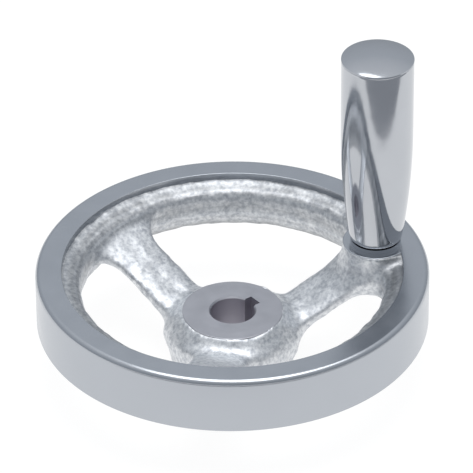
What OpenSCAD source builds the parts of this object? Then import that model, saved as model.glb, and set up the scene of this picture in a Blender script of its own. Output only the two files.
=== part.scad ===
// Dished three-spoke handwheel with a keyed bore and a revolving handle.
// Millimetres. The origin is the middle of the hub's back face, +Z runs along the bore
// towards the handle, and +X points from the bore to the handle's axis.

/* [Wheel] */
// Outer diameter of the rim
wheel_d = 140; // [110:1:180]
// Height of the rim along the bore
rim_h = 21; // [16:0.5:26]
// Radial width of the rim, from its outer wall to its cast inner wall
rim_w = 16; // [13:0.5:20]
// Radial width of the machined ring face on top of the rim
face_w = 9.3; // [7:0.1:11]
// Radius along the rim's upper outer edge
rim_round = 2; // [0.5:0.1:3]
// Radius along the rim's lower outer edge
rim_foot_round = 0.6; // [0.2:0.1:2]
// Radius along the lower inner edge of the rim
rim_inner_round = 8; // [3:0.5:9]
// Drop from the ring face to the cast ledge inside it
ledge_drop = 2.6; // [1:0.1:4]
// Fall of the cast ledge towards the inner wall
ledge_fall = 2.4; // [1:0.1:4]
// How far the hub's face lies below the ring face
dish = 18.5; // [15:0.5:26]

/* [Hub] */
// Length of the hub along the bore
hub_len = 24; // [21:0.5:30]
// Diameter of the hub's machined face
hub_d = 36; // [31:0.5:44]
// Diameter of the hub's shoulder, where the spokes grow out of it
hub_root_d = 49; // [44:0.5:52]
// Diameter of the hub at its back face
hub_back_d = 42; // [34:0.5:44]
// Height of the shoulder above the back face
hub_root_z = 16.5; // [14:0.5:18]
// Diameter of the shaft bore
bore_d = 16; // [12:0.5:20]
// Chamfer at both ends of the bore
bore_chamfer = 0.5; // [0.2:0.1:1]
// Width of the keyway
key_w = 5; // [4:0.5:6]
// Depth of the keyway beyond the bore's wall
key_depth = 2.3; // [1.8:0.1:2.8]
// Turn of the keyway from the handle's radius
key_turn = 20; // [0:1:60]

/* [Spokes] */
// Number of spokes
spoke_count = 3; // [3:1:4]
// Width of a spoke halfway out
spoke_w = 19.5; // [12:0.5:21]
// Thickness of a spoke along the bore, where it meets the rim
spoke_t = 6; // [5:0.5:7]
// Thickness of a spoke along the bore, where it leaves the hub
spoke_root_t = 6; // [5:0.5:8]
// How far below the hub's face the top of a spoke leaves the hub
spoke_root_drop = 5.5; // [4:0.5:8]
// How far below the ring face the top of a spoke meets the rim
spoke_drop = 5.6; // [5.2:0.1:8]
// Radius of a spoke's flare at the rim
rim_flare = 9; // [5:0.5:10]
// Radius of a spoke's flare at the hub
hub_flare = 5; // [3:0.5:9]
// Turn of the first spoke from the handle's radius
spoke_turn = 2.5; // [0:0.5:8]

/* [Handle] */
// Distance from the wheel's outer edge in to the handle's axis
handle_inset = 16; // [15:0.5:18]
// Diameter of the cast boss that carries the handle
boss_d = 24; // [20:0.5:26]
// Height of the boss below the ring face
boss_h = 12.5; // [12:0.5:13]
// Largest diameter of the grip sleeve
grip_d = 25.7; // [23:0.1:30]
// Diameter of the grip sleeve at its lower end
grip_end_d = 18.6; // [17.8:0.1:21]
// Length of the grip sleeve
grip_len = 74.3; // [60:0.1:90]
// Length of the straight upper part of the grip sleeve
grip_straight = 30; // [20:1:45]
// Radius along the grip sleeve's lower edge
grip_round = 1.2; // [0.5:0.1:2]
// Height of the domed end cap above the sleeve
cap_dome = 2.2; // [1:0.1:4]
// Thickness of the end cap's edge
cap_edge = 0.4; // [0.3:0.1:1]
// Length of the end cap's spigot inside the sleeve
cap_spigot = 5; // [3:0.5:8]
// Wall of the two plain bushes inside the sleeve
bush_wall = 1; // [0.5:0.1:1.2]
// Length of each bush
bush_len = 12; // [8:0.5:16]

/* [Spindle] */
// Diameter of the spindle's journal
journal_d = 12; // [10:0.5:13]
// Diameter of the collar that seats on the boss
collar_d = 18.2; // [17:0.1:20]
// Thickness of the collar
collar_t = 1.5; // [1:0.1:3]
// Diameter of the threaded stud in the boss
stud_d = 10; // [8:0.5:10]
// Length of the threaded stud
stud_len = 12; // [10:0.5:12]
// Width of the screwdriver slot in the spindle's end
slot_w = 2; // [1:0.1:3]
// Depth of the screwdriver slot
slot_depth = 1.6; // [1:0.1:1.6]

/* [Retainer] */
// Outer diameter of the thrust washer
washer_d = 17.6; // [16:0.1:18]
// Thickness of the thrust washer
washer_t = 1; // [0.5:0.1:2]
// Thickness of the retaining ring
ring_t = 1; // [0.8:0.1:1.5]
// Radial width of the retaining ring at its back
ring_w = 1.9; // [1.5:0.1:2.2]
// Radius of the retaining ring's ends
ring_lug_r = 1.7; // [1.5:0.1:1.8]

/* [Fits] */
// Running clearance between the journal and the bushes, on the radius
run_gap = 0.05; // [0.02:0.01:0.1]
// End play of the sleeve at the collar and at the thrust washer
end_play = 0.3; // [0.2:0.05:0.6]
// Clearance of the thrust washer on the journal, on the radius
washer_gap = 0.15; // [0.1:0.05:0.4]
// Clearance of the pocket around the thrust washer, on the radius
pocket_gap = 0.6; // [0.4:0.1:1]
// Depth of the retaining ring's groove
groove_depth = 0.25; // [0.2:0.05:0.5]

/* [Hidden] */
$fn = 128;
// How far a cut reaches past the face it starts from
past = 1;
// How deep one cast feature sinks into the next
sink = 2;

rim_out_r = wheel_d / 2;
rim_in_r = rim_out_r - rim_w;
face_in_r = rim_out_r - face_w;
wheel_top = hub_len + dish;
rim_z = wheel_top - rim_h;

hub_r = hub_d / 2;
hub_root_r = hub_root_d / 2;
bore_r = bore_d / 2;
spoke_rim_top = wheel_top - spoke_drop;
spoke_rim_bottom = spoke_rim_top - spoke_t;
spoke_root_z = hub_len - spoke_root_drop;
spoke_pitch = 360 / spoke_count;

handle_r = rim_out_r - handle_inset;
boss_r = boss_d / 2;
stud_r = stud_d / 2;
journal_r = journal_d / 2;
grip_r = grip_d / 2;
grip_end_r = grip_end_d / 2;
washer_r = washer_d / 2;

// Heights of the handle's pieces, from the boss's face upwards
collar_top = wheel_top + collar_t;
grip_z = collar_top + end_play;
grip_top = grip_z + grip_len;
grip_taper = grip_len - grip_straight;
pocket_r = washer_r + pocket_gap;
spigot_z = grip_top - cap_spigot;
spindle_head = 1.8;
head_room = 2;
spindle_top = spigot_z - head_room;
ring_z = spindle_top - spindle_head - ring_t;
washer_z = ring_z - washer_t;
pocket_z = washer_z - end_play;
bush_r = journal_r + run_gap + bush_wall;
upper_bush_z = pocket_z - bush_len;

// The barrel's side is one arc, tangent to the straight upper part
barrel_fall = grip_r - grip_end_r;
barrel_arc = (pow(grip_taper, 2) + pow(barrel_fall, 2)) / (2 * barrel_fall);
dome_r = (pow(grip_r, 2) + pow(cap_dome - cap_edge, 2)) / (2 * (cap_dome - cap_edge));

plated = [0.72, 0.74, 0.77];
bare_steel = [0.5, 0.51, 0.53];
bronze = [0.55, 0.42, 0.28];
spring_steel = [0.25, 0.25, 0.27];

// The waste outside a rounded corner of a profile. sx and sz point out of the corner.
module corner_waste(x, z, r, sx, sz) {
    translate([x, z]) difference() {
        translate([sx > 0 ? -r : -past, sz > 0 ? -r : -past]) square(r + past);
        translate([-sx * r, -sz * r]) circle(r);
    }
}

// The rim's section: a square-shouldered ring whose cast ledge falls inwards from the ring face.
module rim_section() {
    difference() {
        translate([rim_in_r, rim_z]) square([rim_w, rim_h]);
        polygon([
            [rim_in_r - past, wheel_top + past],
            [face_in_r, wheel_top + past],
            [face_in_r, wheel_top - ledge_drop],
            [rim_in_r, wheel_top - ledge_drop - ledge_fall],
            [rim_in_r - past, wheel_top - ledge_drop - ledge_fall],
        ]);
        corner_waste(rim_out_r, wheel_top, rim_round, 1, 1);
        corner_waste(rim_out_r, rim_z, rim_foot_round, 1, -1);
        corner_waste(rim_in_r, rim_z, rim_inner_round, -1, -1);
    }
}

// The hub's section: a machined face, a shoulder for the spokes and a tapered back.
module hub_section() {
    polygon([
        [0, 0],
        [hub_back_d / 2, 0],
        [hub_root_r, hub_root_z],
        [hub_r, hub_len],
        [0, hub_len],
    ]);
}

// Side view of the spokes, which climb from the hub's shoulder to the cast ledge.
module spoke_section() {
    polygon([
        [hub_r - sink, spoke_root_z],
        [hub_r + sink, spoke_root_z],
        [rim_in_r + sink, spoke_rim_top],
        [rim_in_r + sink, spoke_rim_bottom],
        [rim_in_r - sink / 2, spoke_rim_bottom],
        [hub_root_r, spoke_root_z - spoke_root_t],
        [hub_r - sink, spoke_root_z - spoke_root_t],
    ]);
}

// One flare of a spoke that lies along +X: an arc of radius r from the spoke's side to the
// circle ring_r. It runs on to the circle end_r, inside the rim (reach 1) or the hub (reach -1).
module flare(ring_r, end_r, r, side, reach) {
    edge = spoke_w / 2;
    centre_r = ring_r - reach * r;
    centre_x = sqrt(pow(centre_r, 2) - pow(edge + r, 2));
    end = end_r / centre_r;
    difference() {
        polygon([
            [centre_x, -side * past],
            [centre_x, side * (edge + r)],
            [centre_x * end, side * (edge + r) * end],
            [centre_x * end, -side * past],
        ]);
        translate([centre_x, side * (edge + r)]) circle(r);
    }
}

// A spoke seen along the bore, with its four flares.
module spoke_outline() {
    translate([hub_r - sink, -spoke_w / 2]) square([rim_out_r - hub_r, spoke_w]);
    for (side = [-1, 1]) {
        flare(rim_in_r + sink / 2, rim_out_r - sink, rim_flare, side, 1);
        flare(hub_root_r - sink / 2, hub_r - sink, hub_flare, side, -1);
    }
}

module spoke() {
    intersection() {
        rotate_extrude() spoke_section();
        linear_extrude(wheel_top) spoke_outline();
    }
}

module handwheel() {
    color(plated) difference() {
        union() {
            rotate_extrude() rim_section();
            rotate_extrude() hub_section();
            for (i = [0 : spoke_count - 1]) rotate(spoke_turn + i * spoke_pitch) spoke();
            translate([handle_r, 0, wheel_top - boss_h]) cylinder(h = boss_h, r = boss_r);
        }
        translate([0, 0, -past]) cylinder(h = hub_len + 2 * past, r = bore_r);
        bore_mouth(0, 1);
        bore_mouth(hub_len, -1);
        rotate(key_turn) translate([0, -key_w / 2, -past])
            cube([bore_r + key_depth, key_w, hub_len + 2 * past]);
        translate([handle_r, 0, rim_z - past]) cylinder(h = rim_h + 2 * past, r = stud_r);
    }
}

// The chamfer at one end of the bore. inward is 1 at the back face and -1 at the front.
module bore_mouth(z, inward) {
    wide = bore_r + bore_chamfer + past;
    translate([0, 0, z]) rotate_extrude() polygon([
        [0, -inward * past],
        [wide, -inward * past],
        [bore_r, inward * bore_chamfer],
        [0, inward * bore_chamfer],
    ]);
}

// Journal, collar and stud in one turned pin, grooved and slotted at its upper end.
module handle_spindle() {
    color(bare_steel) translate([handle_r, 0, 0]) difference() {
        union() {
            translate([0, 0, wheel_top - stud_len]) cylinder(h = stud_len, r = stud_r);
            translate([0, 0, wheel_top]) cylinder(h = collar_t, r = collar_d / 2);
            translate([0, 0, wheel_top]) cylinder(h = spindle_top - wheel_top, r = journal_r);
        }
        translate([0, 0, ring_z]) difference() {
            cylinder(h = ring_t, r = journal_r + past);
            translate([0, 0, -past]) cylinder(h = ring_t + 2 * past, r = journal_r - groove_depth);
        }
        translate([-journal_d, -slot_w / 2, spindle_top - slot_depth])
            cube([2 * journal_d, slot_w, slot_depth + past]);
    }
}

// Outer outline of the sleeve: straight above, one long arc below, with a rounded lower edge.
module barrel_section() {
    difference() {
        union() {
            translate([0, grip_z + grip_taper]) square([grip_r, grip_straight]);
            intersection() {
                translate([0, grip_z]) square([grip_r, grip_taper]);
                translate([grip_r - barrel_arc, grip_z + grip_taper]) circle(barrel_arc, $fn = 1024);
            }
        }
        corner_waste(grip_end_r, grip_z, grip_round, 1, -1);
    }
}

module handle_sleeve() {
    color(plated) translate([handle_r, 0, 0]) difference() {
        rotate_extrude() barrel_section();
        translate([0, 0, grip_z - past]) cylinder(h = grip_len, r = bush_r);
        translate([0, 0, pocket_z]) cylinder(h = grip_len, r = pocket_r);
    }
}

// Plain bearing bush, pressed into the sleeve and running on the journal.
module bush(z) {
    color(bronze) translate([handle_r, 0, z]) difference() {
        cylinder(h = bush_len, r = bush_r);
        translate([0, 0, -past]) cylinder(h = bush_len + 2 * past, r = journal_r + run_gap);
    }
}

module lower_bush() {
    bush(grip_z);
}

module upper_bush() {
    bush(upper_bush_z);
}

// Domed cap with a spigot that is pressed into the sleeve's pocket.
module sleeve_end_cap() {
    color(plated) translate([handle_r, 0, 0]) {
        translate([0, 0, spigot_z]) cylinder(h = cap_spigot + cap_edge / 2, r = pocket_r);
        intersection() {
            translate([0, 0, grip_top]) cylinder(h = cap_dome, r = grip_r);
            translate([0, 0, grip_top + cap_dome - dome_r]) sphere(dome_r, $fn = 256);
        }
    }
}

module thrust_washer() {
    color(bare_steel) translate([handle_r, 0, washer_z]) difference() {
        cylinder(h = washer_t, r = washer_r);
        translate([0, 0, -past]) cylinder(h = washer_t + 2 * past, r = journal_r + washer_gap);
    }
}

// Open ring with two drilled ends, sprung into the spindle's groove.
module retaining_ring() {
    inner = journal_r - groove_depth;
    lug_turn = 24;
    lug_at = inner + ring_lug_r;
    color(spring_steel) translate([handle_r, 0, ring_z]) linear_extrude(ring_t) difference() {
        union() {
            circle(inner + ring_w);
            for (side = [-1, 1]) rotate(side * lug_turn) translate([lug_at, 0]) circle(ring_lug_r);
        }
        circle(inner);
        polygon([[0, 0], [2 * inner, -inner * 0.5], [2 * inner, inner * 0.5]]);
        for (side = [-1, 1]) rotate(side * lug_turn) translate([lug_at, 0]) circle(ring_lug_r / 2);
    }
}

handwheel();
handle_spindle();
handle_sleeve();
lower_bush();
upper_bush();
thrust_washer();
retaining_ring();
sleeve_end_cap();
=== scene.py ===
# A dished three-spoke handwheel, cast and chrome-plated, with a keyed bore and a revolving
# barrel handle. Metres in Blender; the sizes below are millimetres in the CAD part's frame.
import math

import bpy
import numpy as np
import openvdb
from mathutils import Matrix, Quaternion, Vector


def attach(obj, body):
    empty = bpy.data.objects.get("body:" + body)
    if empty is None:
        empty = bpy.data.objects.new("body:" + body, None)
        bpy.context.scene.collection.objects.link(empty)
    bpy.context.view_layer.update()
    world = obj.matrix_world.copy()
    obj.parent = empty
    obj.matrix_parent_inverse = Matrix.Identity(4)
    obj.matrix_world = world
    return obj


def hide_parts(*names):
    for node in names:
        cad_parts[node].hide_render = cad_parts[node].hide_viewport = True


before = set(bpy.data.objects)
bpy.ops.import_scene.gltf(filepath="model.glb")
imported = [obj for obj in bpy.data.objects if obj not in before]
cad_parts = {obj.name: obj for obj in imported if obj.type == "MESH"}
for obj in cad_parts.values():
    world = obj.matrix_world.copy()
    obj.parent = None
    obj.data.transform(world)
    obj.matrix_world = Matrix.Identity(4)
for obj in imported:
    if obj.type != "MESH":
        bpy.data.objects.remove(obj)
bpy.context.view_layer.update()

# ---- The table and the light -------------------------------------------------------------
# The wheel stands on its hub on a white light table, under one large soft box, in a grey
# studio. Polished chrome has no colour of its own, so these give the wheel all its tones.
MM = 0.001


def linear(code):
    """The linear colour of an sRGB hex code, with an alpha of 1."""
    values = [int(code[i:i + 2], 16) / 255 for i in (1, 3, 5)]
    return [v / 12.92 if v <= 0.04045 else ((v + 0.055) / 1.055) ** 2.4 for v in values] + [1.0]


def node(tree, kind, settings=None, inputs=None):
    """Adds one node with its settings. Each input is a value, or a socket to link from."""
    made = tree.nodes.new(kind)
    for name, value in (settings or {}).items():
        setattr(made, name, value)
    for name, value in (inputs or {}).items():
        if isinstance(value, bpy.types.NodeSocket):
            tree.links.new(value, made.inputs[name])
        else:
            made.inputs[name].default_value = value
    return made


def flat_sheet(name, corners):
    """One flat face of the studio."""
    mesh = bpy.data.meshes.new(name)
    mesh.from_pydata(corners, [], [range(len(corners))])
    sheet = bpy.data.objects.new(name, mesh)
    bpy.context.collection.objects.link(sheet)
    return sheet


def glow_material(name, code, strength, white=0.0):
    """A surface that shines evenly, over a matt base of the given whiteness."""
    material = bpy.data.materials.new(name)
    material.use_nodes = True
    shader = material.node_tree.nodes["Principled BSDF"]
    shader.inputs["Base Color"].default_value = (white, white, white, 1)
    shader.inputs["Roughness"].default_value = 0.9
    shader.inputs["Specular IOR Level"].default_value = 0.1
    shader.inputs["Emission Color"].default_value = linear(code)
    shader.inputs["Emission Strength"].default_value = strength
    return material


# Opal acrylic, lit from below: an even white, a little short of full so that it holds a shadow.
table_half = 4.0
table = flat_sheet("light_table", [(-table_half, -table_half, 0), (table_half, -table_half, 0),
                                   (table_half, table_half, 0), (-table_half, table_half, 0)])
table.data.materials.append(glow_material("opal_acrylic_light_table", "#ffffff", 0.92, 0.12))


def level_way(turn):
    """The level direction at an angle from +X: its cosine, its sine and no height."""
    return Vector((math.cos(turn), math.sin(turn), 0))


# In front of the wheel, just above the light table, a curved strip of glowing grey sheet lies
# along an arc. Only mirrors see the strip: it is a painted dark reflection that makes the dark
# wedge on the handle, just below its end cap.
edge_r = 0.322
edge_set_back = 0.166
sheet_width = 0.12
sheet_rise = 0.2 * MM
edge_way = math.radians(-90.5)
edge_turns = [edge_way + math.radians(a) for a in range(-48, 49, 4)]
edge_centre = Vector((54 * MM, 0, 0)) - edge_set_back * level_way(edge_way)
mirror_only_dark_sheet = flat_sheet("mirror_only_dark_sheet", [
    edge_centre + reach * level_way(turn) + Vector((0, 0, sheet_rise))
    for reach, turns in ((edge_r, edge_turns), (edge_r + sheet_width, edge_turns[::-1]))
    for turn in turns])
# The strip glows an even grey that the camera, diffuse light and shadows never see: a painted
# reflection.
mirror_only_dark_sheet.data.materials.append(glow_material("painted_reflection_grey_sheet", "#9a9da3", 1.08))
for rays in ("camera", "diffuse", "transmission", "volume_scatter", "shadow"):
    setattr(mirror_only_dark_sheet, "visible_" + rays, False)

# The camera has a long lens and looks down on the middle of the ring face.
rim_centre = Vector((0, 0, 42.5 * MM))
camera_azimuth = math.radians(-17.8)
camera_elevation = math.radians(34.46)
camera_distance = 1750 * MM
camera_roll = math.radians(-0.43)
aim_right = 1.6 * MM
aim_up = 10.9 * MM

right = Vector((math.cos(camera_azimuth), math.sin(camera_azimuth), 0))
back = Vector((math.sin(camera_azimuth) * math.cos(camera_elevation),
               -math.cos(camera_azimuth) * math.cos(camera_elevation), math.sin(camera_elevation)))
up = back.cross(right)
eye = rim_centre + back * camera_distance
aim = rim_centre + right * aim_right + up * aim_up

camera_data = bpy.data.cameras.new("product_camera")
camera_data.sensor_width = 36
camera_data.lens = 375.1
camera_data.clip_start = 0.05
camera_data.clip_end = 50
camera = bpy.data.objects.new("product_camera", camera_data)
bpy.context.collection.objects.link(camera)
camera.rotation_mode = "QUATERNION"
camera.location = eye
camera.rotation_quaternion = ((aim - eye).to_track_quat("-Z", "Y")
                              @ Quaternion((0, 0, 1), camera_roll))
bpy.context.scene.camera = camera
bpy.context.scene.view_settings.view_transform = "Standard"


def soft_box(name, place, target, size, glow):
    """A flat light that faces a point. Its power is radiance times width times length times pi."""
    light = bpy.data.lights.new(name, "AREA")
    light.shape = "RECTANGLE"
    light.size, light.size_y = size
    light.energy = glow * size[0] * size[1] * math.pi
    lamp = bpy.data.objects.new(name, light)
    lamp.location = place
    lamp.rotation_mode = "QUATERNION"
    lamp.rotation_quaternion = (Vector(target) - Vector(place)).to_track_quat("-Z", "Y")
    bpy.context.collection.objects.link(lamp)


soft_box("overhead_soft_box", (0.05, 0.05, 1.1), (0, 0, 0), (0.85, 0.85), 2.5)

# The studio's walls run from mid grey at the floor to pale grey overhead, and are a little
# brighter behind the wheel than in front of it.
world = bpy.data.worlds.new("grey_studio")
world.use_nodes = True
bpy.context.scene.world = world
tree = world.node_tree
direction = node(tree, "ShaderNodeTexCoord").outputs["Generated"]
height = node(tree, "ShaderNodeSeparateXYZ", inputs={"Vector": direction})
behind = node(tree, "ShaderNodeMapRange", inputs={
    "Value": height.outputs["Y"], "From Min": -0.9, "From Max": 0.9,
    "To Min": 0.80, "To Max": 1.12})
walls = node(tree, "ShaderNodeValToRGB", inputs={"Fac": height.outputs["Z"]})
walls.color_ramp.elements[0].position = 0.0
walls.color_ramp.elements[0].color = linear("#a4a9af")
walls.color_ramp.elements[1].position = 1.0
walls.color_ramp.elements[1].color = linear("#e9ebee")
middle = walls.color_ramp.elements.new(0.56)
middle.color = linear("#c1c6cc")
tree.links.new(walls.outputs["Color"], tree.nodes["Background"].inputs["Color"])
tree.links.new(behind.outputs["Result"], tree.nodes["Background"].inputs["Strength"])

# ---- Rim: the machined part --------------------------------------------------------------
# The rim's ring face and outer wall are turned and polished before chrome plating, with a
# 2 mm round between them. The wall ends in a crisp lower edge, and the ring face's inner edge
# is only broken.
wheel_top = 42.5
rim_r = 70.0
rim_bottom = wheel_top - 21.0
face_in_r = 60.7
rim_round = 2.0
foot_round = 0.6
edge_break = 0.2


def arc(r, z, radius, start, stop, steps):
    """Points on an arc about (r, z); 0 degrees points outwards and 90 degrees upwards."""
    turn = np.radians(np.linspace(start, stop, steps + 1))
    return np.stack([r + radius * np.cos(turn), z + radius * np.sin(turn)], 1)


def line(start, stop, steps=1):
    """Points along a straight line, with a short first and last step that keeps it flat."""
    length = math.dist(start, stop)
    short = min(0.12 / length, 0.25)
    share = np.concatenate([[0, short], np.linspace(short, 1 - short, steps + 1)[1:], [1]])
    return np.array(start) + share[:, None] * (np.array(stop) - np.array(start))


def mesh_piece(name, points, quads, triangles=None):
    """A mesh object from points in mm and faces, turned the right way out by its volume."""
    if triangles is None:
        triangles = np.zeros((0, 3), np.int64)
    fan = np.concatenate([quads[:, [0, 1, 2]], quads[:, [0, 2, 3]], triangles])
    a, b, c = (points[fan[:, i]] for i in range(3))
    if np.einsum("ij,ij->", a, np.cross(b, c)) < 0:
        quads, triangles = quads[:, ::-1], triangles[:, ::-1]
    corners = np.concatenate([quads.ravel(), triangles.ravel()]).astype(np.int32)
    sizes = np.concatenate([np.full(len(quads), 4), np.full(len(triangles), 3)])
    starts = np.concatenate([[0], np.cumsum(sizes)[:-1]]).astype(np.int32)
    mesh = bpy.data.meshes.new(name)
    mesh.vertices.add(len(points))
    mesh.vertices.foreach_set("co", (points * MM).astype(np.float32).ravel())
    mesh.loops.add(len(corners))
    mesh.loops.foreach_set("vertex_index", corners)
    mesh.polygons.add(len(sizes))
    mesh.polygons.foreach_set("loop_start", starts)
    mesh.update(calc_edges=True)
    mesh.validate()
    mesh.shade_smooth()
    mesh.set_sharp_from_angle(angle=math.radians(32))
    piece = bpy.data.objects.new(name, mesh)
    bpy.context.collection.objects.link(piece)
    return piece


def ring_faces(rows, columns, close_rows):
    """Quads of a grid whose columns run round an axis, and whose rows may also close up."""
    row = np.arange(rows if close_rows else rows - 1)[:, None]
    column = np.arange(columns)[None, :]
    after, beside = (row + 1) % rows, (column + 1) % columns
    return np.stack([row * columns + column, row * columns + beside,
                     after * columns + beside, after * columns + column], -1).reshape(-1, 4)


def lathe_ring(name, outline, turns, centre=(0, 0)):
    """A closed outline of (radius, height) points, each carried once round a vertical axis."""
    turn = np.arange(turns) * 2 * np.pi / turns
    r, z = outline[:, :1], outline[:, 1:]
    points = np.stack([centre[0] + r * np.cos(turn), centre[1] + r * np.sin(turn),
                       z + 0 * turn], -1).reshape(-1, 3)
    return mesh_piece(name, points, ring_faces(len(outline), turns, True))


rim_outline = np.concatenate([
    line((face_in_r, rim_bottom + 1), (face_in_r, wheel_top - edge_break)),
    arc(face_in_r + edge_break, wheel_top - edge_break, edge_break, 180, 90, 4)[1:],
    line((face_in_r + edge_break, wheel_top), (rim_r - rim_round, wheel_top), 6)[1:],
    arc(rim_r - rim_round, wheel_top - rim_round, rim_round, 90, 0, 14)[1:],
    line((rim_r, wheel_top - rim_round), (rim_r, rim_bottom + foot_round), 12)[1:],
    arc(rim_r - foot_round, rim_bottom + foot_round, foot_round, 0, -90, 8)[1:],
    line((rim_r - foot_round, rim_bottom), (face_in_r, rim_bottom), 6)[1:],
])
rim_band = lathe_ring("rim_polished_band", rim_outline, 512)


def plate_material(name, code, roughness, haze, wave_mm, wave):
    """Chrome plate: a metal whose roughness rises by the haze in soft 9 mm patches, over a
    polisher's waves of a given length and depth in mm."""
    material = bpy.data.materials.new(name)
    material.use_nodes = True
    tree = material.node_tree
    shader = tree.nodes["Principled BSDF"]
    place = node(tree, "ShaderNodeTexCoord").outputs["Object"]
    cloud = node(tree, "ShaderNodeTexNoise", inputs={"Vector": place, "Scale": 1 / (9 * MM),
                                                     "Detail": 4.0, "Roughness": 0.6})
    rough = node(tree, "ShaderNodeMapRange", inputs={
        "Value": cloud.outputs["Fac"], "From Min": 0.3, "From Max": 0.7,
        "To Min": roughness, "To Max": roughness + haze})
    swell = node(tree, "ShaderNodeTexNoise", inputs={"Vector": place, "Scale": 1 / (wave_mm * MM),
                                                     "Detail": 1.0})
    bump = node(tree, "ShaderNodeBump", inputs={"Height": swell.outputs["Fac"], "Strength": 1.0,
                                                "Distance": wave * MM})
    tint = node(tree, "ShaderNodeMix", {"data_type": "RGBA"}, {
        "Factor": cloud.outputs["Fac"], "A": linear(code),
        "B": [min(1.0, c * 1.08) for c in linear(code)[:3]] + [1.0]})
    tree.links.new(tint.outputs["Result"], shader.inputs["Base Color"])
    tree.links.new(rough.outputs["Result"], shader.inputs["Roughness"])
    tree.links.new(bump.outputs["Normal"], shader.inputs["Normal"])
    shader.inputs["Metallic"].default_value = 1.0
    return material


# Polished chrome plate on cast iron: a cool mirror, a little soft, with 12 mm polishing waves.
polished_rim = plate_material("polished_chrome_plate_on_casting", "#b2b6bc", 0.20, 0.07, 12, 0.02)
rim_band.data.materials.append(polished_rim)
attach(rim_band, "wheel")
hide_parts("handwheel")

# ---- Casting: spokes, hub cone, handle boss and the rim's inside --------------------------
# The rest of the wheel is one iron casting, sand-cast and plated as it came from the mould.
# Its pieces melt into each other with wide fillets, so it is built as one distance field.
casting_cell = 0.64
casting_low = np.array([-62.6, -62.6, -0.8])
casting_high = np.array([62.6, 62.6, wheel_top + 0.4])
hidden_r = 61.8
hub_top = 24.0
handle_r = 54.0

# The rim's section, from its ledge below the ring face to its foot.
ledge_high = wheel_top - 2.6
ledge_in_r, ledge_low = 54.2, wheel_top - 5.0
ledge_edge_r = 54.3
parting_r, parting_z = 53.6, wheel_top - 10.3
foot_in_r = 54.6
ledge_round, parting_round, inner_round = 2.2, 0.25, 8

# A spoke's width and flares, and the rise of its top and bottom per mm of radius.
spoke_turn = math.radians(2.5)
spoke_half_w = 9.9
rim_flare, rim_flare_r = 9.0, 55.0
hub_flare, hub_flare_r = 5.0, 23.5
spoke_from_r, spoke_to_r = 12, 59
spoke_root_r = 24
spoke_root_top, spoke_top_rise = 20.6, 0.515
spoke_root_bottom, spoke_bottom_rise = 13.4, 0.60
spoke_power = 3.0

# The boss below the handle, and how far each joint's fillet reaches.
boss_r, boss_depth, boss_round = 12.0, 12.4, 3.0
spoke_fillet, boss_fillet, rim_fillet = 4.5, 9.0, 3.2


def join(a, b, k):
    """Union of two distance fields, with a fillet whose reach is k."""
    share = np.clip(0.5 + 0.5 * (b - a) / k, 0, 1)
    return b + (a - b) * share - k * share * (1 - share)


def cross(a, b, k):
    """Intersection of two distance fields, with an edge rounded by k."""
    return -join(-a, -b, k)


def below(r, z, start, stop):
    """Distance from the line that runs from start to stop in a section, positive on its left."""
    along = np.array(stop) - np.array(start)
    along = along / np.hypot(*along)
    return along[0] * (z - start[1]) - along[1] * (r - start[0])


def rim_field(r, z):
    """The rim's inside: a falling ledge, two drafted walls that meet at the mould's parting
    line, and an 8 mm round down to its foot. Outwards it ends inside the polished band."""
    ledge = below(r, z, (ledge_in_r, ledge_low), (face_in_r, ledge_high))
    upper = below(r, z, (parting_r, parting_z), (ledge_edge_r, ledge_low))
    lower = below(r, z, (foot_in_r, rim_bottom), (parting_r, parting_z))
    side = cross(upper, lower, parting_round)
    side = cross(side, ledge, ledge_round)
    round_r = handle_r + inner_round
    corner = np.hypot(np.maximum(round_r - r, 0),
                      np.maximum(rim_bottom + inner_round - z, 0)) - inner_round
    side = np.maximum(side, np.maximum(corner, rim_bottom + 0.06 - z))
    return np.maximum(side, r - hidden_r)


def hub_field(r, z):
    """The hub: a cone that widens below its machined face, and tapers again to its back."""
    upper = below(r, z, (24.7, hub_top - 7.4), (18.0, hub_top + 0.1))
    lower = below(r, z, (20.9, 0.0), (24.7, hub_top - 7.4))
    upper, lower = -upper, -lower
    side = cross(upper, lower, 3.5)
    return np.maximum(side, z - hub_top)


def spoke_field(x, y, z, turn):
    """One spoke: a bar that climbs from hub to rim, and flares along an arc at each end. Its
    section is where the third powers of the shares across and upwards add up to 1."""
    u = x * math.cos(turn) + y * math.sin(turn)
    v = -x * math.sin(turn) + y * math.cos(turn)
    centre_r = rim_flare_r - rim_flare
    start = math.sqrt(centre_r ** 2 - (spoke_half_w + rim_flare) ** 2)
    into = np.clip(u - start, 0, rim_flare * 0.985)
    half_w = spoke_half_w + rim_flare - np.sqrt(rim_flare ** 2 - into ** 2)
    centre_r = hub_flare_r + hub_flare
    start = math.sqrt(centre_r ** 2 - (spoke_half_w + hub_flare) ** 2)
    into = np.clip(start - u, 0, hub_flare * 0.985)
    half_w = half_w + hub_flare - np.sqrt(hub_flare ** 2 - into ** 2)
    top = spoke_root_top + (u - spoke_root_r) * spoke_top_rise
    bottom = spoke_root_bottom + (u - spoke_root_r) * spoke_bottom_rise
    half_t = (top - bottom) / 2
    across = np.abs(v) / half_w
    upward = np.abs(z - (top + bottom) / 2) / half_t
    power = spoke_power
    section = (across ** power + upward ** power + 1e-9) ** (1 / power)
    slope = np.hypot((across / section) ** (power - 1) / half_w,
                     (upward / section) ** (power - 1) / half_t)
    side = (section - 1) / np.maximum(slope, 0.03)
    return np.maximum(np.maximum(side, u - spoke_to_r), spoke_from_r - u)


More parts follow.
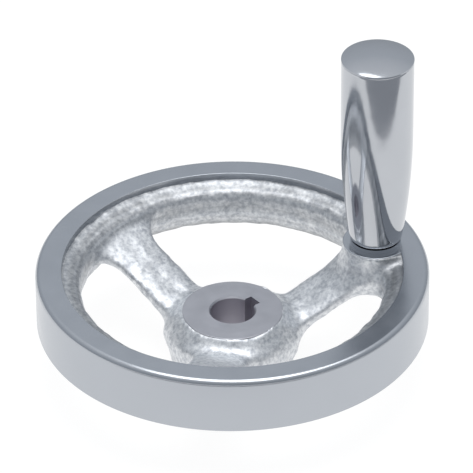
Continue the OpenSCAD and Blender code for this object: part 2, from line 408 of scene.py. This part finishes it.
def smooth_noise(shape, cell, size_mm, seed):
    """Random values on a grid, blurred to lumps of a given size, with a deviation of 1."""
    rough = np.random.default_rng(seed).standard_normal(shape).astype(np.float32)
    waves = [np.fft.fftfreq(n, cell) for n in shape[:2]] + [np.fft.rfftfreq(shape[2], cell)]
    square = (waves[0][:, None, None] ** 2 + waves[1][None, :, None] ** 2
              + waves[2][None, None, :] ** 2)
    soft = np.fft.irfftn(np.fft.rfftn(rough) * np.exp(-square * (size_mm * 1.4) ** 2), s=shape)
    return (soft / soft.std()).astype(np.float32)


def casting_field(x, y, z):
    """The whole casting: rim, hub, spokes and boss joined by fillets, then the machined cuts."""
    r = np.hypot(x, y)
    body = hub_field(r, z)
    for i in range(3):
        turn = spoke_turn + i * 2 * math.pi / 3
        body = join(body, spoke_field(x, y, z, turn), spoke_fillet)
    from_handle = np.hypot(x - handle_r, y)
    boss = cross(from_handle - boss_r, wheel_top - boss_depth - z, boss_round)
    body = join(body, boss, boss_fillet)
    body = join(body, rim_field(r, z), rim_fillet)
    body = np.maximum(body, r - hidden_r)
    # The hub's own faces cover the first two cuts, which are only clearances behind them.
    spot_face = np.maximum(r - 18.05, hub_top - 0.4 - z)
    bore = r - 12.5
    stud_hole = from_handle - 5.05
    for cut in (spot_face, bore, stud_hole):
        body = np.maximum(body, -cut)
    return body


def casting_mesh(name):
    """The surface where the casting's field is zero, worked out on a grid of small cells. The
    sand leaves lumps 5.5 mm and 1.9 mm across, and two smoothing passes then take out the
    cells' own steps, each moving a point 45% of the way to the mean of its neighbours."""
    counts = np.ceil((casting_high - casting_low) / casting_cell).astype(int) + 1
    x, y, z = (casting_low[i] + casting_cell * np.arange(counts[i], dtype=np.float32)
               for i in range(3))
    field = casting_field(x[:, None, None], y[None, :, None], z[None, None, :]).astype(np.float32)
    shape = tuple(int(n) for n in counts)
    field += 0.10 * smooth_noise(shape, casting_cell, 5.5, 3) * (field < 6)
    field += 0.045 * smooth_noise(shape, casting_cell, 1.9, 4) * (field < 6)
    field = np.maximum(field, np.maximum(z - wheel_top + 0.25, 0.12 - z))
    grid = openvdb.FloatGrid(3.0)
    grid.copyFromArray(np.clip(field, -3, 3))
    points, quads = grid.convertToQuads()
    points = np.asarray(points, float) * casting_cell + casting_low
    quads = np.asarray(quads, np.int64)
    pull = 0.45
    for _ in range(2):
        total = np.zeros_like(points)
        count = np.zeros(len(points))
        for i in range(4):
            for j in (1, 3):
                np.add.at(total, quads[:, i], points[quads[:, (i + j) % 4]])
                np.add.at(count, quads[:, i], 1)
        points = points * (1 - pull) + pull * total / count[:, None]
    return mesh_piece(name, points, quads)


casting = casting_mesh("wheel_casting")
casting.data.set_sharp_from_angle(angle=math.radians(75))


def cast_material(name):
    """Plated sand casting: a bright grain of 1.5 mm and finer, 7 mm patches of haze, pinholes 2.4
    mm apart, and the rim's inside darkened in streaks round the axis, with painted shade that
    deepens outwards below the ring face. The grain of real sand is about 0.3 mm, and is drawn
    coarser so that it shows."""
    material = bpy.data.materials.new(name)
    material.use_nodes = True
    tree = material.node_tree
    shader = tree.nodes["Principled BSDF"]
    place = node(tree, "ShaderNodeTexCoord").outputs["Object"]
    grain = node(tree, "ShaderNodeTexNoise", inputs={"Vector": place, "Scale": 1 / (1.5 * MM),
                                                     "Detail": 5.0, "Roughness": 0.65})
    patch = node(tree, "ShaderNodeTexNoise", inputs={"Vector": place, "Scale": 1 / (7 * MM),
                                                     "Detail": 3.0})
    pits = node(tree, "ShaderNodeTexVoronoi", inputs={"Vector": place, "Scale": 1 / (2.4 * MM)})
    pit = node(tree, "ShaderNodeMapRange", inputs={
        "Value": pits.outputs["Distance"], "From Min": 0.05, "From Max": 0.3,
        "To Min": 0.0, "To Max": 1.0})
    relief = node(tree, "ShaderNodeMath", {"operation": "MULTIPLY_ADD"}, {
        0: pit.outputs["Result"], 1: 0.25, 2: grain.outputs["Fac"]})
    bump = node(tree, "ShaderNodeBump", inputs={"Height": relief.outputs[0], "Strength": 1.0,
                                                "Distance": 0.07 * MM})
    rough = node(tree, "ShaderNodeMapRange", inputs={
        "Value": patch.outputs["Fac"], "From Min": 0.3, "From Max": 0.7,
        "To Min": 0.40, "To Max": 0.55})
    tint = node(tree, "ShaderNodeValToRGB", inputs={"Fac": grain.outputs["Fac"]})
    tint.color_ramp.elements[0].position = 0.34
    tint.color_ramp.elements[0].color = linear("#b8bcc2")
    tint.color_ramp.elements[1].position = 0.62
    tint.color_ramp.elements[1].color = linear("#e8eaec")
    # The rim's inside is darkened in streaks: noise in the section's radius and height, so they
    # run round the axis.
    part = node(tree, "ShaderNodeSeparateXYZ", inputs={"Vector": place})
    flat = node(tree, "ShaderNodeCombineXYZ", inputs={"X": part.outputs["X"],
                                                      "Y": part.outputs["Y"]})
    radius = node(tree, "ShaderNodeVectorMath", {"operation": "LENGTH"},
                  {0: flat.outputs["Vector"]}).outputs["Value"]
    section = node(tree, "ShaderNodeCombineXYZ", inputs={"X": radius, "Z": part.outputs["Z"]})
    streak = node(tree, "ShaderNodeTexNoise", inputs={
        "Vector": section.outputs["Vector"], "Scale": 1 / (2.4 * MM), "Detail": 2.0})
    streak_tone = node(tree, "ShaderNodeMapRange", inputs={
        "Value": streak.outputs["Fac"], "From Min": 0.35, "From Max": 0.65,
        "To Min": 0.70, "To Max": 1.0})
    # Painted shade: from 53.8 mm to 55.4 mm radius the rim's inside darkens to 0.8, and stays so
    # across the ledge below the ring face.
    outward_shade = node(tree, "ShaderNodeMapRange", inputs={"Value": radius, "From Min": 53.8 * MM,
                                                    "From Max": 55.4 * MM, "To Min": 1.0,
                                                    "To Max": 0.80})
    on_rim = node(tree, "ShaderNodeMapRange", inputs={"Value": radius, "From Min": 51.5 * MM,
                                                      "From Max": 53.0 * MM})
    tone = node(tree, "ShaderNodeMath", {"operation": "MULTIPLY"}, {
        0: outward_shade.outputs["Result"], 1: streak_tone.outputs["Result"]})
    # The streaks and the painted shade multiply the casting's colour on the rim's inside.
    streaked_and_shaded_tint = node(tree, "ShaderNodeMix", {"data_type": "RGBA", "blend_type": "MULTIPLY"}, {
        "Factor": on_rim.outputs["Result"], "A": tint.outputs["Color"], "B": tone.outputs[0]})
    tree.links.new(streaked_and_shaded_tint.outputs["Result"], shader.inputs["Base Color"])
    tree.links.new(rough.outputs["Result"], shader.inputs["Roughness"])
    tree.links.new(bump.outputs["Normal"], shader.inputs["Normal"])
    shader.inputs["Metallic"].default_value = 1.0
    return material


# Chrome plate over sand-cast iron: it glitters like coarse foil and mirrors nothing clearly.
casting.data.materials.append(cast_material("plated_as_cast_iron"))
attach(casting, "wheel")
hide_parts("handwheel")

# ---- Hub: the machined faces and the keyed bore -------------------------------------------
# The hub's two faces are turned flat after casting, and the bore is reamed to 16 mm with a
# 5 mm keyway broached through it. Neither is plated bright, so they stay a dull grey.
bore_r = 8.0
key_half_w = 2.5
key_floor = 10.3
key_turn = math.radians(20)

key_corner = math.atan2(key_half_w, key_floor)
key_mouth = math.asin(key_half_w / bore_r)
bore_turn = np.unique(np.concatenate([
    np.linspace(-key_corner, key_corner, 9),
    np.linspace(key_corner, key_mouth, 5),
    np.linspace(-key_mouth, -key_corner, 5),
    np.linspace(key_mouth, 2 * math.pi - key_mouth, 145)[:-1],
]).round(9))
from_key = np.abs((bore_turn + math.pi) % (2 * math.pi) - math.pi)
bore_edge = np.where(from_key <= key_corner + 1e-6, key_floor / np.cos(from_key),
                     np.where(from_key < key_mouth - 1e-6,
                              key_half_w / np.maximum(np.sin(from_key), 1e-3), bore_r))
chamfer = np.where(from_key < key_mouth - 1e-6, 0.1, 0.5)
hub_heights = np.linspace(0.5, hub_top - 0.5, 8)
hub_rows = ([(bore_edge, z) for z in hub_heights]
            + [(bore_edge + chamfer, hub_top)]
            + [(np.full_like(bore_edge, r), hub_top) for r in (11.5, 13, 15, 17.7, 17.85)]
            + [(np.full_like(bore_edge, r), z) for r, z in
               ((18.0, hub_top - 0.1), (18.02, hub_top - 1), (14, hub_top - 1.2), (14, 1),
                (20.6, 0.8), (20.7, 0.15), (20.55, 0), (18, 0), (11.5, 0))]
            + [(bore_edge + chamfer, 0.0)])
hub_points = np.concatenate([
    np.stack([r * np.cos(bore_turn + key_turn), r * np.sin(bore_turn + key_turn),
              np.full_like(bore_turn, z)], 1) for r, z in hub_rows])
hub_faces = mesh_piece("hub_machined_faces", hub_points,
                       ring_faces(len(hub_rows), len(bore_turn), True))


def turned_material(name, code, roughness, pitch_mm, depth_mm):
    """Turned metal: rings round the axis from the tool's feed, and a faint stain. The rings
    repeat every 2 pi pitches, far coarser than a real feed, so that they show."""
    material = bpy.data.materials.new(name)
    material.use_nodes = True
    tree = material.node_tree
    shader = tree.nodes["Principled BSDF"]
    place = node(tree, "ShaderNodeTexCoord").outputs["Object"]
    rings = node(tree, "ShaderNodeTexWave", {"wave_type": "RINGS", "rings_direction": "Z"}, {
        "Vector": place, "Scale": 1 / (20 * pitch_mm * MM), "Distortion": 0.4, "Detail": 2.0})
    stain = node(tree, "ShaderNodeTexNoise", inputs={"Vector": place, "Scale": 1 / (6 * MM),
                                                     "Detail": 6.0, "Roughness": 0.6})
    tint = node(tree, "ShaderNodeMix", {"data_type": "RGBA"}, {
        "Factor": stain.outputs["Fac"], "A": linear(code),
        "B": [min(1.0, c * 1.25) for c in linear(code)[:3]] + [1.0]})
    rough = node(tree, "ShaderNodeMapRange", inputs={
        "Value": stain.outputs["Fac"], "From Min": 0.3, "From Max": 0.7,
        "To Min": roughness - 0.05, "To Max": roughness + 0.05})
    bump = node(tree, "ShaderNodeBump", inputs={"Height": rings.outputs["Fac"], "Strength": 1.0,
                                                "Distance": depth_mm * MM})
    tree.links.new(tint.outputs["Result"], shader.inputs["Base Color"])
    tree.links.new(rough.outputs["Result"], shader.inputs["Roughness"])
    tree.links.new(bump.outputs["Normal"], shader.inputs["Normal"])
    shader.inputs["Metallic"].default_value = 1.0
    return material


# Bare grey iron, faced on a lathe: a dull, even grey with a soft sheen round the axis.
iron_face = turned_material("turned_grey_iron_face", "#a9aab0", 0.42, 0.5, 0.012)
# The same iron, reamed: duller still, and a shade lighter down in the bore.
iron_bore = turned_material("reamed_iron_bore", "#b3b1b9", 0.5, 0.5, 0.01)
hub_faces.data.materials.append(iron_face)
hub_faces.data.materials.append(iron_bore)
bore_rows = len(hub_heights) - 1
material_of_face = np.zeros(len(hub_faces.data.polygons), np.int32)
material_of_face[:bore_rows * len(bore_turn)] = 1
hub_faces.data.polygons.foreach_set("material_index", material_of_face)
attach(hub_faces, "wheel")
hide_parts("handwheel")

# ---- Boss: the machined seat of the handle -----------------------------------------------
# The boss grows out of rim and spoke. Its top is turned and polished together with the ring
# face, so that the handle's collar seats flat on it.
seat_r = 11.85
seat_hole_r = 5.3
seat_top = wheel_top - 0.012
seat_deep = 3
seat_round = 0.35
seat_outline = np.concatenate([
    line((seat_hole_r, seat_top - seat_deep), (seat_hole_r, seat_top)),
    line((seat_hole_r, seat_top), (seat_r - seat_round, seat_top), 6)[1:],
    arc(seat_r - seat_round, seat_top - seat_round, seat_round, 90, 0, 6)[1:],
    line((seat_r, seat_top - seat_round), (seat_r, seat_top - seat_deep))[1:],
])
boss_seat = lathe_ring("boss_polished_seat", seat_outline, 160, (handle_r, 0))
boss_seat.data.materials.append(polished_rim)
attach(boss_seat, "wheel")
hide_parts("handwheel")

# ---- Grip sleeve -------------------------------------------------------------------------
# The barrel that turns in the hand: turned from steel bar, polished on a wheel and chromed.
# Its upper part is straight, and its lower part falls in along one long arc.
sleeve_low = wheel_top + 1.8
sleeve_high = sleeve_low + 74.3
grip_r = 12.85
foot_r = 9.3
barrel_top = sleeve_high - 30
bush_bore_r = 7.05
pocket_r = 9.4
pocket_z = sleeve_high - 11.1
foot_edge = 1.2
top_edge = 0.25


def barrel_radius(z):
    """The sleeve's radius at a height: one arc that meets the straight part without a corner."""
    span, fall = barrel_top - sleeve_low, grip_r - foot_r
    reach = (span ** 2 + fall ** 2) / (2 * fall)
    drop = np.clip(barrel_top - z, 0, span)
    return grip_r - reach + np.sqrt(reach ** 2 - drop ** 2)


side_z = np.linspace(sleeve_low + foot_edge, sleeve_high - top_edge, 120)
sleeve_outline = np.concatenate([
    line((bush_bore_r, pocket_z), (bush_bore_r, sleeve_low), 4),
    line((bush_bore_r, sleeve_low), (foot_r - 1.1, sleeve_low), 2)[1:],
    arc(foot_r - 1.1, sleeve_low + foot_edge, foot_edge, -90, -3, 8)[1:],
    np.stack([barrel_radius(side_z), side_z], 1)[1:],
    arc(grip_r - top_edge, sleeve_high - top_edge, top_edge, 0, 90, 4)[1:],
    line((grip_r - top_edge, sleeve_high), (pocket_r, sleeve_high), 2)[1:],
    line((pocket_r, sleeve_high), (pocket_r, pocket_z), 3)[1:],
    line((pocket_r, pocket_z), (bush_bore_r, pocket_z))[1:-1],
])
sleeve = lathe_ring("grip_barrel", sleeve_outline, 256, (handle_r, 0))
# Polished chrome plate on turned steel: the clearest mirror of the object, with 10 mm waves.
sleeve_plate = plate_material("polished_chrome_plate_on_steel", "#b8bbc0", 0.07, 0.05, 10, 0.03)
sleeve.data.materials.append(sleeve_plate)
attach(sleeve, "grip")
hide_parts("handle_sleeve")

# ---- End cap -----------------------------------------------------------------------------
# A pressed and polished cap that closes the sleeve: a low dome with a crisp edge, and a
# spigot below it that grips the sleeve's pocket.
cap_edge_z = sleeve_high + 0.4
dome_rise = 1.8
spigot_z = sleeve_high - 5


def lathe_solid(name, outline, turns, centre):
    """An outline that starts and ends on the axis, carried round it; each end is one point."""
    turn = np.arange(turns) * 2 * np.pi / turns
    r, z = outline[1:-1, :1], outline[1:-1, 1:]
    grid = np.stack([centre[0] + r * np.cos(turn), centre[1] + r * np.sin(turn), z + 0 * turn],
                    -1).reshape(-1, 3)
    poles = np.array([[centre[0], centre[1], outline[i, 1]] for i in (0, -1)])
    first, last = len(grid), len(grid) + 1
    column = np.arange(turns)
    beside = (column + 1) % turns
    top = len(grid) - turns
    fans = np.concatenate([np.stack([np.full(turns, first), beside, column], 1),
                           np.stack([np.full(turns, last), top + column, top + beside], 1)])
    return mesh_piece(name, np.concatenate([grid, poles]), ring_faces(len(r), turns, False), fans)


dome_r = (grip_r ** 2 + dome_rise ** 2) / (2 * dome_rise)
dome_turn = np.linspace(math.asin((grip_r - 0.12) / dome_r), 0, 40)
dome = np.stack([dome_r * np.sin(dome_turn), cap_edge_z + dome_rise - dome_r
                 + dome_r * np.cos(dome_turn)], 1)
cap_outline = np.concatenate([
    [(0, spigot_z)],
    line((3, spigot_z), (pocket_r - 0.3, spigot_z), 2),
    line((pocket_r, spigot_z + 0.3), (pocket_r, sleeve_high + 0.02), 3),
    line((pocket_r, sleeve_high + 0.02), (grip_r - 0.05, sleeve_high + 0.02), 2)[1:],
    [(grip_r, sleeve_high + 0.08), (grip_r, cap_edge_z - 0.02),
     (grip_r - 0.04, cap_edge_z + 0.02)],
    dome,
])
cap = lathe_solid("grip_end_cap", cap_outline, 256, (handle_r, 0))
cap.data.materials.append(sleeve_plate)
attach(cap, "grip")
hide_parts("sleeve_end_cap")

# ---- Spindle, bushes, washer and retaining ring --------------------------------------------
# The turned spindle screws into the boss, and its plated collar shows below the grip. The
# bronze bushes, the thrust washer and the sprung ring are hidden inside the sleeve.


def finish_node(name, material):
    """Gives a CAD node's own mesh one material."""
    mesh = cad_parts[name].data
    mesh.materials.clear()
    mesh.materials.append(material)


# Sintered bronze holds oil in its pores: a dull brown-yellow with a soft sheen.
bronze = turned_material("oil_filled_sintered_bronze", "#a98d5c", 0.45, 0.6, 0.01)
# Ground steel is a brighter, even grey, and blackened spring steel is nearly black.
washer_steel = turned_material("ground_steel_washer", "#a6a8ac", 0.28, 0.4, 0.006)
ring_steel = turned_material("blackened_spring_steel", "#3c3b3e", 0.4, 0.5, 0.006)
finish_node("handle_spindle", sleeve_plate)
finish_node("lower_bush", bronze)
finish_node("upper_bush", bronze)
finish_node("thrust_washer", washer_steel)
finish_node("retaining_ring", ring_steel)
